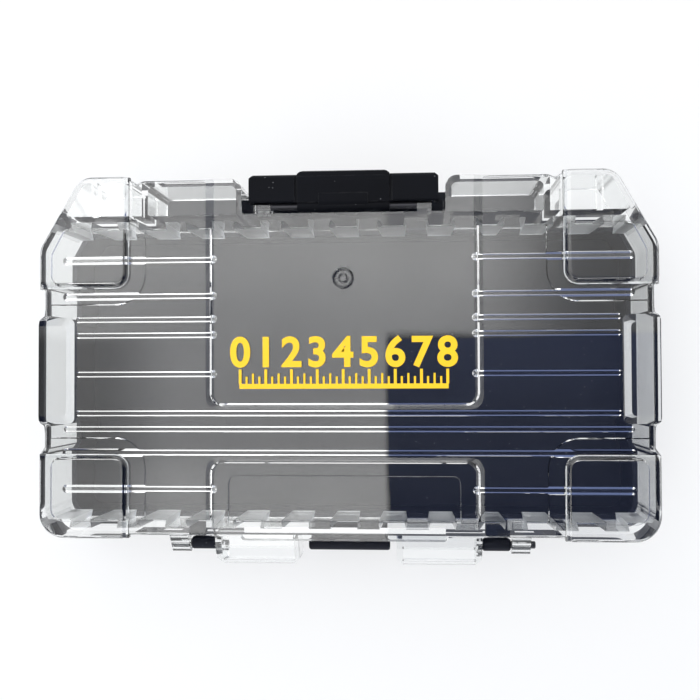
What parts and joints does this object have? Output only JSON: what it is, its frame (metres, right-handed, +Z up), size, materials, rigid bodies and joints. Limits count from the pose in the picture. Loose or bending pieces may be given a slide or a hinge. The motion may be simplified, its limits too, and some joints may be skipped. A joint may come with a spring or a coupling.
{
  "type": "stackable tool box",
  "caption": "Low rectangular stackable case with a black tray, a clear hinged lid with divider teeth and raised corner pads, and a front snap latch.",
  "frame": {"origin": "middle of the tray, on the flat underside that the box rests on", "axes": "+X along the box, to the right seen from the latch side; +Y from the latch at the front to the hinge at the rear; +Z up through the lid"},
  "size_m": [0.24, 0.1572, 0.058],
  "materials": {
    "tray_plastic": "black moulded plastic, satin",
    "clear_plastic": "clear polished polycarbonate",
    "latch_plastic": "black moulded plastic, satin",
    "pin_black": "blackened steel rod"
  },
  "bodies": {
    "tray": {"base_shell": "tray_plastic", "hinge_pin_right": "pin_black", "hinge_pin_left": "pin_black"},
    "lid": {"lid_shell": "clear_plastic", "latch_pin": "pin_black"},
    "latch": {"latch_lever": "latch_plastic"}
  },
  "joints": [
    {"name": "lid_hinge", "type": "hinge", "parent": "tray", "child": "lid", "pos_m": [0, 0.0704, 0.025], "axis": [-1, 0, 0], "range_deg": [0, 105]},
    {"name": "latch_pivot", "type": "hinge", "parent": "lid", "child": "latch", "pos_m": [0, -0.0655, 0.0514], "axis": [-1, 0, 0], "range_deg": [0, 65]}
  ]
}
